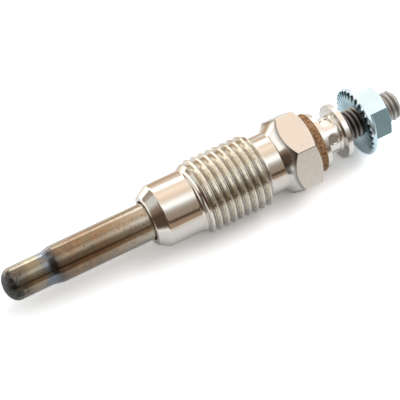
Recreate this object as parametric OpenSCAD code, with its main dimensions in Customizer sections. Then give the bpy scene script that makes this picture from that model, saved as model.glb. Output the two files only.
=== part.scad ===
// Diesel glow plug with a sheathed metal heater, lying on a flat of its hexagon.
// The plug's axis is X: the heater tip points to -X, the terminal to +X, and Z is up.
// The origin is on the axis, where the conical seat meets the plain shank.
// Every piece is drawn upright, with the plug's axis along Z, and laid down by lay().

/* [Heater tube] */
// Outside diameter where the body grips the tube
tube_d = 6; // [5.6:0.1:6.3]
// Outside diameter of the slim front
tube_front_d = 5.3; // [4.8:0.1:5.5]
// Length that stands out of the body
tube_reach = 24.05; // [21:0.05:30]
// Length of the slim front, dome included
tube_front_l = 7.45; // [6:0.05:10]
// Length of the dome at the tip
tube_dome_l = 1.9; // [1.4:0.1:2.4]
// Length of the taper between the two diameters
tube_taper_l = 1.3; // [1:0.1:3]
// Wall thickness
tube_wall = 0.7; // [0.5:0.05:0.8]
// Length gripped inside the body
tube_grip_l = 14; // [11:0.5:17]

/* [Body] */
// Diameter of the nose face round the tube
nose_d = 8; // [7.2:0.1:8.4]
// Half angle of the conical seat
seat_half_angle = 31.5; // [28:0.5:60]
// Diameter of the plain shank behind the seat
shank_d = 10.2; // [9.4:0.1:10.4]
// Length of the plain shank
shank_l = 5.5; // [4:0.05:8]
// Length of the cone that runs up to the first thread crest
run_in_l = 1.4; // [1:0.1:2]
// Nominal diameter of the body thread
thread_d = 12; // [11.6:0.1:12.4]
// Pitch of the body thread
thread_pitch = 1.25; // [1:0.05:1.5]
// Number of thread crests
thread_crests = 9; // [7:1:12]
// Diameter of the neck between thread and hexagon
neck_d = 9.8; // [9.2:0.1:10.2]
// Length of the neck, thread run-out included
neck_l = 3.25; // [2:0.05:5]
// Width across the flats of the hexagon
hex_af = 12; // [11:0.5:14]
// Length of the hexagon over both chamfers
hex_l = 5.85; // [5:0.05:9]
// Half angle of the cone that leads from the neck to the hexagon
hex_front_half_angle = 45; // [35:1:60]
// Diameter of the flat face at the rear of the hexagon
hex_face_d = 11.2; // [10.4:0.1:11.8]
// Angle of the rear chamfer, from that face
hex_chamfer_angle = 30; // [20:1:40]

/* [Body bore] */
// Radial gap round the tube in the relieved mouth
mouth_gap = 0.25; // [0.1:0.05:0.4]
// Depth of the relieved mouth
mouth_l = 1.6; // [1:0.1:3]
// Radial gap round the rod in the passage behind the tube
passage_gap = 0.5; // [0.3:0.05:0.6]
// Depth of the seal counterbore at the rear
seal_bore_l = 4; // [3:0.1:5]

/* [Terminal stud] */
// Diameter of the rod inside the tube
rod_front_d = 3; // [2.6:0.1:3.4]
// Diameter of the rod inside the body
rod_d = 4.4; // [4:0.1:4.6]
// Length of the spigot that carries the regulating coil
spigot_l = 2.5; // [1.5:0.1:4]
// Nominal diameter of the stud thread
stud_d = 5; // [4.8:0.1:5.2]
// Pitch of the stud thread
stud_pitch = 0.8; // [0.7:0.05:0.9]
// Stud length beyond the collar
stud_reach = 10.6; // [9:0.1:14]
// Chamfer at the stud's end
stud_chamfer = 0.5; // [0.3:0.05:0.8]
// Rise of the domed end face
stud_dome = 0.3; // [0.1:0.05:0.6]

/* [Coils and seals] */
// Mean radius of both coils
coil_r = 1.15; // [1.05:0.05:1.25]
// Wire diameter of the heating coil
heat_wire_d = 0.4; // [0.3:0.05:0.45]
// Pitch of the heating coil
heat_pitch = 0.85; // [0.7:0.05:1]
// Turns of the heating coil
heat_turns = 7; // [5:1:8]
// Wire diameter of the regulating coil
reg_wire_d = 0.45; // [0.3:0.05:0.5]
// Pitch of the regulating coil
reg_pitch = 1; // [0.8:0.05:1.2]
// Turns of the regulating coil
reg_turns = 14; // [10:1:16]
// Powder left between the heating coil and the tube's closed end
coil_tip_gap = 0.9; // [0.8:0.1:1.5]
// Length of the gland in the tube's open end
tube_seal_l = 2; // [1:0.1:3]
// Thickness of the rubber ring
ring_d = 1.55; // [1.3:0.05:1.55]

/* [Washer and collar] */
// Diameter of the insulating washer
washer_d = 9.9; // [9:0.1:11]
// Thickness of the washer's flange
washer_l = 1.5; // [1:0.1:3]
// Diameter of the collar's lower flange
collar_base_d = 9.3; // [8.5:0.1:10]
// Thickness of the lower flange
collar_base_l = 0.85; // [0.5:0.05:1.5]
// Wall thickness of the collar's waist
collar_wall = 0.53; // [0.45:0.01:0.8]
// Length of the waist
collar_waist_l = 2.95; // [2.4:0.05:4]
// Diameter of the collar's upper flange
collar_top_d = 9.15; // [8:0.05:10]
// Thickness of the upper flange
collar_top_l = 0.95; // [0.5:0.05:1.5]
// Fillet between waist and flanges
collar_fillet = 0.45; // [0.2:0.05:0.5]
// Diameter of a crimp dimple
dimple_d = 1.9; // [1.4:0.1:2]
// Depth of a crimp dimple
dimple_depth = 0.28; // [0.15:0.01:0.32]
// Number of crimp dimples
dimples = 6; // [4:1:6]
// Turn of the dimples from the hexagon's corners
dimple_turn = 14; // [-30:1:30]

/* [Terminal nut] */
// Distance from the collar to the nut's underside
nut_lift = 2.75; // [0.5:0.05:5]
// Width across the flats
nut_af = 8; // [7:0.5:9]
// Height over all
nut_h = 4.6; // [4:0.1:5.5]
// Diameter of the flange
nut_flange_d = 11.3; // [10.4:0.1:12]
// Height of the flange's rim
nut_rim_l = 0.9; // [0.6:0.05:1.2]
// Half angle of the cone from the rim up to the hexagon
nut_flange_half_angle = 65; // [60:1:75]
// Diameter of the flat face on top of the hexagon
nut_face_d = 7.7; // [7:0.1:7.9]
// Chamfer angle at the top of the hexagon
nut_chamfer_angle = 30; // [20:1:40]
// Turn of the nut from the body's hexagon
nut_turn = -5; // [-30:1:30]
// Number of serrations under the flange
serrations = 30; // [20:1:36]
// Depth of a serration at the rim
serration_depth = 0.38; // [0.2:0.02:0.5]
// Diameter inside which the underside is smooth
serration_inner_d = 7.9; // [7.6:0.1:9.2]
// Depth of the dished recess inside the serrations
nut_dish = 0.5; // [0.2:0.05:0.8]

/* [Fits] */
// Radial gap of a pressed or cast-in fit
press_gap = 0.02; // [0.01:0.01:0.04]
// Radial gap of a loose or threaded fit
loose_gap = 0.05; // [0.03:0.01:0.1]

/* [Hidden] */
$fn = 96;

// Share of the pitch that is crest flat, and thread depth per pitch, of a metric thread
crest_share = 1 / 8;
depth_share = 0.6134;
flank_half_angle = 30;
// Hexagon corners relative to a flat that faces straight down
hex_turn = 30;
// Facets of a coil, per turn and round the wire
coil_steps = 16;
wire_sides = 6;
// Overlap of cutting shapes past the faces they cut
cut = 1;

// Stations along the axis, counted from the seat
nose_x = -(shank_d - nose_d) / 2 / tan(seat_half_angle);
tip_x = nose_x - tube_reach;
tube_rear_x = nose_x + tube_grip_l;
first_crest_x = shank_l + run_in_l + thread_pitch * crest_share / 2;
last_crest_x = first_crest_x + (thread_crests - 1) * thread_pitch;
thread_end_x = last_crest_x + thread_pitch * crest_share / 2;
hex_x = thread_end_x + neck_l;
hex_end_x = hex_x + hex_l;
washer_end_x = hex_end_x + washer_l;
collar_l = collar_base_l + collar_waist_l + collar_top_l;
collar_end_x = washer_end_x + collar_l;
nut_x = collar_end_x + nut_lift;
stud_end_x = collar_end_x + stud_reach;
mouth_d = tube_d + 2 * mouth_gap;
passage_d = rod_d + 2 * passage_gap;
seal_bore_d = rod_d + 2 * ring_d + 4 * press_gap;
seal_shoulder_x = hex_end_x - seal_bore_l;
spigot_end_x = seal_shoulder_x + ring_d + 2 * press_gap;
tube_seal_x = tube_rear_x - tube_seal_l;
rod_step_x = tube_rear_x + loose_gap;

// Coils, from the closed end of the tube back to the stud
cavity_tip_x = tip_x + tube_wall;
heat_x = cavity_tip_x + coil_tip_gap + heat_wire_d;
heat_end_x = heat_x + heat_pitch * heat_turns;
reg_end_x = heat_end_x + reg_pitch * reg_turns;
rod_front_x = reg_end_x + reg_wire_d / 2 + loose_gap;
coil_wire_d = max(heat_wire_d, reg_wire_d);
spigot_d = 2 * (coil_r - reg_wire_d / 2 - loose_gap);

// Stud thread, which the nut shares
stud_thread_x = collar_end_x + stud_pitch;
stud_straight_end_x = stud_end_x - stud_dome - stud_chamfer;
stud_crests = floor((stud_straight_end_x - stud_thread_x) / stud_pitch) + 1;

function hex_corner_r(af) = af / 2 / cos(30);

// Outline of a ridged thread, as radius and station, from its first crest to its last
function thread_outline(d, pitch, first_x, crests, gap = 0) =
    let (depth = depth_share * pitch, crest_half = crest_share * pitch / 2,
        root_half = crest_half + depth * tan(flank_half_angle))
    [for (i = [0 : crests - 1]) let (x = first_x + i * pitch, r = d / 2 + gap)
        each [if (i > 0) [r - depth, x - root_half], [r, x - crest_half], [r, x + crest_half],
            if (i < crests - 1) [r - depth, x + root_half]]];

// Quarter arc of a concave fillet that turns the outline by 90 degrees
function fillet(r, x, from_angle, to_angle, radius = collar_fillet, steps = 6) =
    [for (i = [0 : steps]) let (a = from_angle + (to_angle - from_angle) * i / steps)
        [r + radius * cos(a), x + radius * sin(a)]];

module lay() {
    rotate([0, 90, 0]) children();
}

module turned(outline) {
    rotate_extrude() polygon(outline);
}

module disc(d, from_x, to_x) {
    translate([0, 0, from_x]) cylinder(d = d, h = to_x - from_x);
}

module hex_bar(af, from_x, to_x) {
    translate([0, 0, from_x]) rotate([0, 0, hex_turn])
        cylinder(r = hex_corner_r(af), h = to_x - from_x, $fn = 6);
}

// The tube's outer form with its flattened dome, or its cavity when inset by the wall
module tube_form(inset, rear_x) {
    front_r = tube_front_d / 2 - inset;
    main_r = tube_d / 2 - inset;
    dome_l = tube_dome_l - inset / 2;
    taper_x = tip_x + tube_front_l;
    dome_steps = 12;
    turned(concat([for (i = [0 : dome_steps]) let (a = 90 * i / dome_steps)
            [front_r * sin(a), tip_x + inset + dome_l * (1 - cos(a))]],
        [[front_r, taper_x], [main_r, taper_x + tube_taper_l], [main_r, rear_x], [0, rear_x]]));
}

// A round wire wound about the axis, as rings of points joined by triangles
module coil(wire_d, pitch, turns, from_x) {
    rings = turns * coil_steps;
    points = [for (i = [0 : rings], j = [0 : wire_sides - 1])
        let (turn = 360 * i / coil_steps, side = 360 * j / wire_sides, r = coil_r + wire_d / 2 * cos(side))
        [r * cos(turn), r * sin(turn), from_x + pitch * i / coil_steps + wire_d / 2 * sin(side)]];
    sides = [for (i = [0 : rings - 1], j = [0 : wire_sides - 1])
        let (a = i * wire_sides + j, b = i * wire_sides + (j + 1) % wire_sides)
        each [[a, a + wire_sides, b], [b, a + wire_sides, b + wire_sides]]];
    start = [for (j = [0 : wire_sides - 1]) j];
    end = [for (j = [wire_sides - 1 : -1 : 0]) rings * wire_sides + j];
    polyhedron(points, concat([start, end], sides));
}

module plug_body() {
    corner_r = hex_corner_r(hex_af);
    hex_front_l = (corner_r - neck_d / 2) / tan(hex_front_half_angle);
    hex_chamfer_l = (corner_r - hex_face_d / 2) * tan(hex_chamfer_angle);
    run_out_l = (thread_d - neck_d) / 2 * tan(flank_half_angle);
    color("silver") lay() difference() {
        union() {
            turned(concat([[0, nose_x], [nose_d / 2, nose_x], [shank_d / 2, 0], [shank_d / 2, shank_l]],
                thread_outline(thread_d, thread_pitch, first_crest_x, thread_crests),
                [[neck_d / 2, thread_end_x + run_out_l], [neck_d / 2, hex_x + hex_l / 2], [0, hex_x + hex_l / 2]]));
            intersection() {
                hex_bar(hex_af, hex_x, hex_end_x);
                turned([[0, hex_x], [neck_d / 2, hex_x], [corner_r, hex_x + hex_front_l],
                    [corner_r, hex_end_x - hex_chamfer_l], [hex_face_d / 2, hex_end_x], [0, hex_end_x]]);
            }
        }
        disc(mouth_d, nose_x - cut, nose_x + mouth_l);
        disc(tube_d + 2 * press_gap, nose_x, tube_rear_x + press_gap);
        disc(passage_d, nose_x, hex_end_x);
        disc(seal_bore_d, seal_shoulder_x, hex_end_x + cut);
    }
}

module heater_tube() {
    color("#6b5a45") lay() difference() {
        tube_form(0, tube_rear_x);
        tube_form(tube_wall, tube_rear_x + cut);
    }
}

module heating_coil() {
    color("#b08040") lay() coil(heat_wire_d, heat_pitch, heat_turns, heat_x);
}

module regulating_coil() {
    color("#8c8c94") lay() coil(reg_wire_d, reg_pitch, reg_turns, heat_end_x);
}

// The powder has a ring-shaped pocket for the coils, and a bore for the rod and its spigot
module magnesia_fill() {
    pocket_half = coil_wire_d / 2 + loose_gap;
    pocket_x = heat_x - heat_wire_d / 2 - loose_gap;
    color("white") lay() difference() {
        tube_form(tube_wall + press_gap, tube_seal_x - press_gap);
        difference() {
            disc(2 * (coil_r + pocket_half), pocket_x, rod_front_x);
            disc(2 * (coil_r - pocket_half), pocket_x - cut, rod_front_x - spigot_l - loose_gap);
        }
        disc(rod_front_d + 2 * press_gap, rod_front_x - loose_gap, tube_seal_x + cut);
    }
}

module tube_seal() {
    color("#3a2f2a") lay() difference() {
        disc(tube_d - 2 * (tube_wall + press_gap), tube_seal_x, tube_rear_x);
        disc(rod_front_d + 2 * press_gap, tube_seal_x - cut, tube_rear_x + cut);
    }
}

module terminal_stud() {
    end_r = stud_d / 2 - stud_chamfer;
    dome_r = (end_r * end_r + stud_dome * stud_dome) / 2 / stud_dome;
    dome_steps = 6;
    dome_sweep = asin(end_r / dome_r);
    color("#7d756b") lay() turned(concat(
        [[0, rod_front_x - spigot_l], [spigot_d / 2, rod_front_x - spigot_l], [spigot_d / 2, rod_front_x],
            [rod_front_d / 2, rod_front_x], [rod_front_d / 2, rod_step_x], [rod_d / 2, rod_step_x],
            [rod_d / 2, spigot_end_x], [stud_d / 2, spigot_end_x]],
        thread_outline(stud_d, stud_pitch, stud_thread_x, stud_crests),
        [[stud_d / 2, stud_straight_end_x]],
        [for (i = [0 : dome_steps]) let (a = dome_sweep * (1 - i / dome_steps))
            [dome_r * sin(a), stud_end_x - dome_r + dome_r * cos(a)]]));
}

module body_seal() {
    color("#202020") lay() rotate_extrude()
        translate([(seal_bore_d + rod_d) / 4, seal_shoulder_x + press_gap + ring_d / 2]) circle(d = ring_d);
}

module insulating_washer() {
    color("#7a5230") lay() difference() {
        union() {
            disc(washer_d, hex_end_x, washer_end_x);
            disc(seal_bore_d - 2 * press_gap, spigot_end_x, washer_end_x);
        }
        disc(stud_d + 2 * loose_gap, spigot_end_x - cut, washer_end_x + cut);
    }
}

module crimp_collar() {
    waist_r = stud_d / 2 + press_gap + collar_wall;
    waist_x = washer_end_x + collar_base_l;
    top_x = waist_x + collar_waist_l;
    color("gainsboro") lay() difference() {
        turned(concat([[0, washer_end_x], [collar_base_d / 2, washer_end_x], [collar_base_d / 2, waist_x]],
            fillet(waist_r + collar_fillet, waist_x + collar_fillet, 270, 180),
            fillet(waist_r + collar_fillet, top_x - collar_fillet, 180, 90),
            [[collar_top_d / 2, top_x], [collar_top_d / 2, collar_end_x], [0, collar_end_x]]));
        disc(stud_d + 2 * press_gap, washer_end_x - cut, collar_end_x + cut);
        for (i = [0 : dimples - 1])
            rotate([0, 0, hex_turn + dimple_turn + 360 / dimples * i])
                translate([waist_r - dimple_depth, 0, (waist_x + top_x) / 2])
                    rotate([0, 90, 0]) cylinder(d = dimple_d, h = cut);
    }
}

// One ratchet tooth's gap: a ramp that is deepest at the rim and runs out at the inner diameter
module serration_gap() {
    inner_r = serration_inner_d / 2;
    reach = nut_flange_d / 2 - inner_r;
    width = PI * nut_flange_d / serrations;
    translate([inner_r, 0, nut_x]) rotate([0, -atan(serration_depth / reach), 0]) rotate([90, 0, 90])
        linear_extrude(reach + cut) polygon([[0, 0], [width, -serration_depth], [0, -2 * serration_depth]]);
}

module terminal_nut() {
    corner_r = hex_corner_r(nut_af);
    rim_r = nut_flange_d / 2;
    nut_end_x = nut_x + nut_h;
    face_r = nut_face_d / 2;
    cone_l = (rim_r - face_r) / tan(nut_flange_half_angle);
    chamfer_l = (corner_r - face_r) * tan(nut_chamfer_angle);
    mouth_r = stud_d / 2 + loose_gap;
    turns_below = floor((nut_x - stud_thread_x) / stud_pitch);
    turns_inside = ceil(nut_h / stud_pitch) + 2;
    color("lightsteelblue") lay() difference() {
        rotate([0, 0, nut_turn]) union() {
            turned([[0, nut_x], [rim_r, nut_x], [rim_r, nut_x + nut_rim_l],
                [face_r, nut_x + nut_rim_l + cone_l], [0, nut_x + nut_rim_l + cone_l]]);
            intersection() {
                hex_bar(nut_af, nut_x + nut_rim_l, nut_end_x);
                turned([[0, nut_x], [corner_r, nut_x], [corner_r, nut_end_x - chamfer_l], [face_r, nut_end_x],
                    [0, nut_end_x]]);
            }
        }
        turned(concat([[0, nut_x - cut], [mouth_r, nut_x - cut]],
            thread_outline(stud_d, stud_pitch, stud_thread_x + turns_below * stud_pitch, turns_inside, loose_gap),
            [[mouth_r, nut_end_x + cut], [0, nut_end_x + cut]]));
        turned([[0, nut_x - cut], [serration_inner_d / 2, nut_x - cut], [serration_inner_d / 2, nut_x],
            [mouth_r, nut_x + nut_dish], [0, nut_x + nut_dish]]);
        for (i = [0 : serrations - 1]) rotate([0, 0, 360 / serrations * i]) serration_gap();
    }
}

plug_body();
heater_tube();
heating_coil();
regulating_coil();
magnesia_fill();
tube_seal();
terminal_stud();
body_seal();
insulating_washer();
crimp_collar();
terminal_nut();
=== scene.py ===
"""Finished glow plug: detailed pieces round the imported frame, their metal finishes, and a plain stage."""

import math

import bmesh
import bpy
from bpy.props import FloatProperty, FloatVectorProperty, IntProperty, PointerProperty
from mathutils import Matrix, Vector, noise


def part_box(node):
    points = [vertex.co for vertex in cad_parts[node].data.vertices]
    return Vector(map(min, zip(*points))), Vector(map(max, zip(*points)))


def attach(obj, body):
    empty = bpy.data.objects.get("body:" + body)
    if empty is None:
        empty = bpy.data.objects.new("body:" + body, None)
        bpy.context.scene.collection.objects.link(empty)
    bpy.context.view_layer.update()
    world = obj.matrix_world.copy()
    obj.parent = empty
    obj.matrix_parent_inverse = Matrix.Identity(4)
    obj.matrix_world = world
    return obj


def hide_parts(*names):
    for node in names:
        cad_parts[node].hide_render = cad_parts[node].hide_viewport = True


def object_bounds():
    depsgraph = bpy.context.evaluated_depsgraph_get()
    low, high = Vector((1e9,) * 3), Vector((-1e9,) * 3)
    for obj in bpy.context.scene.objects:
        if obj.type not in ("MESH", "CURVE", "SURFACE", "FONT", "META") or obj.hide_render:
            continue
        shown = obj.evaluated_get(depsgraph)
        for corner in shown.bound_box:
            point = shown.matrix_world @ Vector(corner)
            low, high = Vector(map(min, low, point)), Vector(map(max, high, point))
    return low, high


bl_info = {
    "name": "Glow plug",
    "version": (1, 0, 0),
    "blender": (4, 5, 0),
    "location": "View3D > Sidebar > Glow plug",
    "description": "Builds the finished pieces of a diesel glow plug round its packed frame",
    "category": "Object",
}

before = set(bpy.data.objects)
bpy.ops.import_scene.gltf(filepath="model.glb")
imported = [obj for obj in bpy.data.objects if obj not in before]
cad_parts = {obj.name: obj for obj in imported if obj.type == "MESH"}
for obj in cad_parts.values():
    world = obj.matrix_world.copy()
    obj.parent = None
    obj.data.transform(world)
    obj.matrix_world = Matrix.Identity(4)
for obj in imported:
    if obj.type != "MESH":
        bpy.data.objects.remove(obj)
cad_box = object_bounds()
MM = 0.001
TURN = 2 * math.pi

# Depth of a metric thread as a share of its pitch, half the angle between flanks, and a hexagon's chamfer
THREAD_DEPTH = 0.6134
FLANK_ANGLE = math.radians(30)
CHAMFER_ANGLE = math.radians(30)
# How near points of one thread, and points of skins that meet, lie when they become one
MERGE_GAP = 0.002 * MM
WELD_GAP = 0.003 * MM
# How fine the strands are that make the fibre washer's rim rough
STRANDS_PER_METRE = 1900
# What a wound thread is made from: its own sizes, and those of the plain rings it starts and ends at
THREAD_SIZES = ("Crest radius", "Pitch", "Crest station")
THREAD_START = ("Start", "Start radius", "Run in", "Fade in")
THREAD_END = ("End", "End radius", "Run out", "Fade out")

# What bright metal sees of the studio in the middle, to the left and to the right: degrees up from the
# viewer's horizon and over to the far one, and a tone
STUDIO_MIDDLE = (
    (0, (0.30, 0.21, 0.15)),
    (17, (0.29, 0.20, 0.14)),
    (21, (0.05, 0.032, 0.022)),
    (27, (0.05, 0.032, 0.022)),
    (31, (0.255, 0.20, 0.155)),
    (50, (0.275, 0.23, 0.185)),
    (60, (0.36, 0.33, 0.29)),
    (67, (0.56, 0.56, 0.55)),
    (73, (0.85, 0.89, 0.89)),
    (78, (1.0, 1.0, 1.0)),
    (85, (1.0, 1.0, 1.0)),
    (92, (0.84, 0.79, 0.73)),
    (99, (0.70, 0.61, 0.53)),
    (108, (0.73, 0.59, 0.48)),
    (125, (0.92, 0.77, 0.64)),
    (142, (0.77, 0.66, 0.55)),
    (150, (0.92, 0.90, 0.86)),
    (156, (1.80, 1.74, 1.64)),
    (163, (1.80, 1.74, 1.64)),
    (168, (0.88, 0.84, 0.78)),
    (174, (0.72, 0.58, 0.46)),
    (180, (0.52, 0.40, 0.30)),
)
STUDIO_LEFT = (
    (0, (0.20, 0.18, 0.15)),
    (12, (0.07, 0.045, 0.032)),
    (66, (0.07, 0.045, 0.032)),
    (84, (0.17, 0.12, 0.085)),
    (104, (0.24, 0.19, 0.15)),
    (114, (0.42, 0.40, 0.37)),
    (122, (0.54, 0.54, 0.53)),
    (140, (0.54, 0.54, 0.53)),
    (148, (0.32, 0.26, 0.21)),
    (174, (0.30, 0.245, 0.20)),
    (180, (0.42, 0.37, 0.32)),
)
STUDIO_RIGHT = (
    (0, (0.152, 0.182, 0.178)),
    (14, (0.152, 0.182, 0.178)),
    (22, (0.120, 0.120, 0.114)),
    (34, (0.33, 0.32, 0.30)),
    (44, (0.48, 0.47, 0.44)),
    (54, (0.80, 0.80, 0.78)),
    (62, (1.0, 1.0, 1.0)),
    (88, (1.0, 1.0, 1.0)),
    (104, (0.84, 0.77, 0.71)),
    (130, (0.87, 0.77, 0.69)),
    (150, (1.05, 1.0, 0.95)),
    (158, (1.50, 1.46, 1.40)),
    (166, (1.0, 0.97, 0.93)),
    (180, (0.84, 0.80, 0.75)),
)
# Painted light: what bright metal sees of the floor behind the plug is a glow of these tones, brighter than
# white on the left, from a station on the left over a width to the right
FLOOR_FAR_START = -30 * MM
FLOOR_FAR_WIDTH = 80 * MM
FLOOR_FAR = (
    (0.0, (2.4, 2.3, 2.1)),
    (0.18, (2.2, 2.1, 1.9)),
    (0.275, (1.5, 1.42, 1.30)),
    (0.37, (1.3, 1.2, 1.08)),
    (0.44, (0.70, 0.52, 0.36)),
    (0.72, (0.70, 0.52, 0.36)),
    (0.79, (1.0, 0.96, 0.91)),
)

body_low, body_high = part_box("plug_body")
tube_low, tube_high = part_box("heater_tube")
stud_low, stud_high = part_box("terminal_stud")
washer_low, washer_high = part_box("insulating_washer")
collar_low, collar_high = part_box("crimp_collar")
nut_low, nut_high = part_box("terminal_nut")


def length(name, description, size, low=0.0):
    """A length property; its default is in metres."""
    return FloatProperty(
        name=name, description=description, default=size, min=low, precision=5, unit="LENGTH"
    )


def station(name, description, size):
    """A place along the plug's axis, counted from the seat."""
    return length(name, description, size, low=-1.0)


def colour(name, description, red, green, blue):
    """A linear colour property."""
    return FloatVectorProperty(
        name=name, description=description, default=(red, green, blue), min=0, max=1, size=3, subtype="COLOR"
    )


def angle(name, description, degrees):
    """An angle property; its default is given in degrees."""
    return FloatProperty(name=name, description=description, default=math.radians(degrees), subtype="ANGLE")


def light_level(name, description, default, high=10.0):
    """A property for a level of light or reflectance."""
    return FloatProperty(
        name=name, description=description, default=default, min=0, max=high, subtype="FACTOR"
    )


def how_many(name, description, default):
    """A property for the number of like features round a piece."""
    return IntProperty(name=name, description=description, default=default, min=3)


def vector(name, description, default, **kind):
    """A property for a point or a direction."""
    return FloatVectorProperty(
        name=name, description=description, default=default, size=3, precision=5, **kind
    )


class GlowPlugBodySizes(bpy.types.PropertyGroup):
    """Sizes of the threaded body."""

    nose_radius: length("Nose radius", "Radius of the nose face round the tube", 4.0 * MM)
    shank_radius: length("Shank radius", "Radius of the plain shank", 5.1 * MM)
    shank_end: station("Shank end", "Station where the thread's run-in starts", 5.5 * MM)
    run_in: length("Run-in", "Length of the cone that leads to the first crest", 1.4 * MM)
    thread_radius: length("Thread radius", "Radius over the thread crests", 6.0 * MM)
    pitch: length("Pitch", "Pitch of the body thread", 1.25 * MM)
    first_crest: station("First crest", "Station of the first thread crest", 6.978 * MM)
    thread_end: station("Thread end", "Station where the run-out starts", 17.056 * MM)
    run_out: length("Run-out", "Length of the thread's run-out", 0.635 * MM)
    neck_radius: length("Neck radius", "Radius between thread and hexagon", 4.9 * MM)
    hex_start: station("Hexagon start", "Station where the neck opens into the hexagon", 20.306 * MM)
    hex_end: station("Hexagon end", "Station of the flat rear face", body_high.x)
    hex_half: length("Half width", "Half the width across the hexagon's flats", body_high.z)
    hex_face: length("Rear face radius", "Radius of the flat rear face", 5.6 * MM)
    mouth_radius: length("Mouth radius", "Radius of the relieved mouth round the tube", 3.25 * MM)
    mouth_depth: length("Mouth depth", "Depth of the relieved mouth", 1.6 * MM)
    grip_radius: length("Grip radius", "Radius of the bore that grips the tube", 3.02 * MM)
    passage_radius: length("Passage radius", "Radius of the bore round the rod", 2.7 * MM)
    seal_radius: length("Seal bore radius", "Radius of the counterbore at the rear", 3.79 * MM)
    seal_depth: length("Seal bore depth", "Depth of the counterbore at the rear", 4.0 * MM)
    edge: length("Edge break", "Width of the break on every sharp edge", 0.13 * MM)


class GlowPlugTubeSizes(bpy.types.PropertyGroup):
    """Sizes of the heater tube."""

    tip: station("Tip", "Station of the closed tip", tube_low.x)
    rear: station("Rear", "Station of the open end inside the body", tube_high.x)
    radius: length("Radius", "Outside radius where the body grips the tube", tube_high.z)
    front_radius: length("Front radius", "Outside radius of the slim front", 2.65 * MM)
    front_length: length("Front length", "Length of the slim front with its dome", 7.45 * MM)
    taper_length: length("Taper length", "Length of the swaged step", 1.3 * MM)
    dome_length: length("Dome length", "Length of the dome at the tip", 1.9 * MM)
    wall: length("Wall", "Wall thickness", 0.7 * MM)


class GlowPlugTerminalSizes(bpy.types.PropertyGroup):
    """Sizes of the stud, the washer, the collar and the nut."""

    spigot_radius: length("Spigot radius", "Radius of the spigot inside the coil", 0.875 * MM)
    spigot_length: length("Spigot length", "Length of the spigot inside the coil", 2.5 * MM)
    rod_front_radius: length("Front rod radius", "Radius of the rod inside the tube", 1.5 * MM)
    rod_radius: length("Rod radius", "Radius of the rod inside the body", 2.2 * MM)
    stud_radius: length("Stud radius", "Radius over the stud thread", 2.5 * MM)
    stud_pitch: length("Stud pitch", "Pitch of the stud thread", 0.8 * MM)
    stud_chamfer: length("Stud chamfer", "Chamfer at the stud's end", 0.5 * MM)
    stud_dome: length("Stud dome", "Rise of the domed end face", 0.3 * MM)
    washer_bore: length("Washer bore", "Radius of the washer's hole", 2.55 * MM)
    washer_spigot: length("Washer spigot", "Radius of the washer's spigot in the body", 3.77 * MM)
    base_length: length("Base flange", "Thickness of the collar's lower flange", 0.85 * MM)
    top_length: length("Top flange", "Thickness of the collar's upper flange", 0.95 * MM)
    top_radius: length("Top flange radius", "Radius of the collar's upper flange", 4.575 * MM)
    waist_radius: length("Waist radius", "Radius of the collar's waist", 3.05 * MM)
    collar_bore: length("Collar bore", "Radius of the collar's bore", 2.52 * MM)
    collar_fillet: length("Collar fillet", "Fillet between waist and flanges", 0.45 * MM)
    dimples: how_many("Dimples", "Number of crimp dimples", 6)
    dimple_radius: length("Dimple radius", "Radius of a crimp dimple", 0.95 * MM)
    dimple_depth: length("Dimple depth", "Depth of a crimp dimple", 0.28 * MM)
    dimple_turn: angle("Dimple turn", "Turn of the dimples from the hexagon's corners", 14)
    nut_half: length("Nut half width", "Half the width across the nut's flats", 4.0 * MM)
    nut_rim: length("Nut rim", "Height of the flange's rim", 0.9 * MM)
    nut_bevel: length("Nut bevel", "Width of the bevel round the flange's underside", 0.28 * MM)
    nut_slope: angle("Flange slope", "Half angle of the flange's cone", 65)
    nut_face: length("Nut face radius", "Radius of the flat face on the nut", 3.85 * MM)
    nut_gap: length("Thread gap", "Radial gap between nut and stud", 0.05 * MM)
    nut_dish: length("Nut dish", "Depth of the dished underside", 0.5 * MM)
    nut_turn: angle("Nut turn", "Turn of the nut from the body's hexagon", -5)
    serrations: how_many("Serrations", "Number of teeth under the flange", 30)
    serration_depth: length("Serration depth", "Depth of a tooth at the rim", 0.38 * MM)
    serration_inner: length("Serration inner radius", "Radius where the teeth run out", 3.95 * MM)
    edge: length("Edge break", "Width of the break on every sharp edge", 0.06 * MM)


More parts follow.
